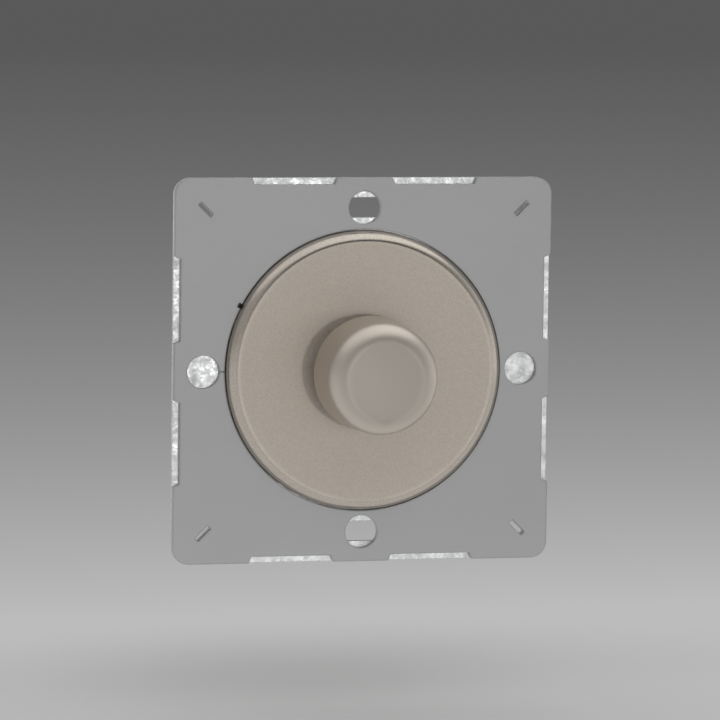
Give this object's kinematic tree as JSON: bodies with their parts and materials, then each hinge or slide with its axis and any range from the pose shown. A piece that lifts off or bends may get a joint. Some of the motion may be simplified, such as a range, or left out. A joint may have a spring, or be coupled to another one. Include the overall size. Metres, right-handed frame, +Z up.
{
  "type": "rotary push dimmer switch",
  "caption": "Rotary push dimmer module: round champagne metal cover and knob on a square satin steel mounting plate, with a moulded electronics housing behind it.",
  "frame": {"origin": "on the spindle axis, midway between the two fixing slots, in the plane of the wall behind the chassis", "axes": "+X to the right seen from the front, +Z up, +Y into the wall, so the knob points along -Y"},
  "size_m": [0.071, 0.0447, 0.071],
  "materials": {
    "satin_plate": "satin, neutral grey",
    "zinc_sheet": "bright zinc plated",
    "champagne_metal": "satin champagne, fine grain",
    "turned_steel": "turned, bright",
    "spring_steel": "oiled, satin",
    "nickel_brass": "nickel plated",
    "raw_brass": "machined",
    "bronze": "stamped strip",
    "copper_wire": "enamelled",
    "die_cast": "as cast",
    "pale_moulding": "fine texture",
    "dark_moulding": "fine texture",
    "laminate": "pressed laminate",
    "board": "solder mask",
    "ferrite": "sintered",
    "film_case": "moulded case",
    "sleeve": "shrink sleeve",
    "sink_metal": "extruded",
    "pad_film": "silicone film",
    "fuse_tube": "clear"
  },
  "bodies": {
    "base": {"front_plate": "satin_plate", "chassis": "zinc_sheet", "cover_disc": "champagne_metal", "disc_carrier": "dark_moulding", "control_bush": "nickel_brass", "bush_nut": "nickel_brass", "lock_washer": "zinc_sheet", "control_case": "die_cast", "track_wafer": "laminate", "control_tags": "nickel_brass", "switch_case": "dark_moulding", "switch_lid": "dark_moulding", "fixed_contacts": "raw_brass", "housing_cover": "pale_moulding", "rear_housing": "pale_moulding", "housing_screws": "zinc_sheet", "circuit_board": "board", "film_capacitor": "film_case", "choke_core": "ferrite", "choke_winding": "copper_wire", "smoothing_capacitor": "sleeve", "heat_sink": "sink_metal", "insulating_pads": "pad_film", "transistors": "dark_moulding", "transistor_strap": "spring_steel", "strap_screw": "zinc_sheet", "fuse_glass": "fuse_tube", "fuse_caps": "nickel_brass", "fuse_clips": "bronze", "terminal_block": "dark_moulding", "terminal_clamps": "raw_brass", "terminal_screws": "zinc_sheet", "earth_clamp": "zinc_sheet", "earth_screw": "raw_brass"},
    "rotor": {"rotor": "dark_moulding", "wiper_brush": "bronze"},
    "spindle": {"spindle": "turned_steel", "spindle_clip": "spring_steel", "knob": "champagne_metal", "knob_insert": "dark_moulding", "knob_leaf": "spring_steel"},
    "plunger": {"switch_plunger": "pale_moulding", "contact_bridge": "bronze", "return_spring": "spring_steel"}
  },
  "joints": [
    {"name": "knob_turn", "type": "hinge", "parent": "base", "child": "rotor", "pos_m": [0, 0, 0], "axis": [0, 1, 0], "range_deg": [-135, 135]},
    {"name": "knob_push", "type": "slide", "parent": "rotor", "child": "spindle", "axis": [0, 1, 0], "range_m": [0, 0.0015], "stiffness_N_per_m": 800, "springref_m": -0.002},
    {"name": "plunger_push", "type": "slide", "parent": "base", "child": "plunger", "axis": [0, 1, 0], "range_m": [0, 0.0015], "deforming": ["return_spring"]}
  ],
  "couplings": [
    {"joint": "plunger_push", "follows": "knob_push", "ratio": 1}
  ]
}
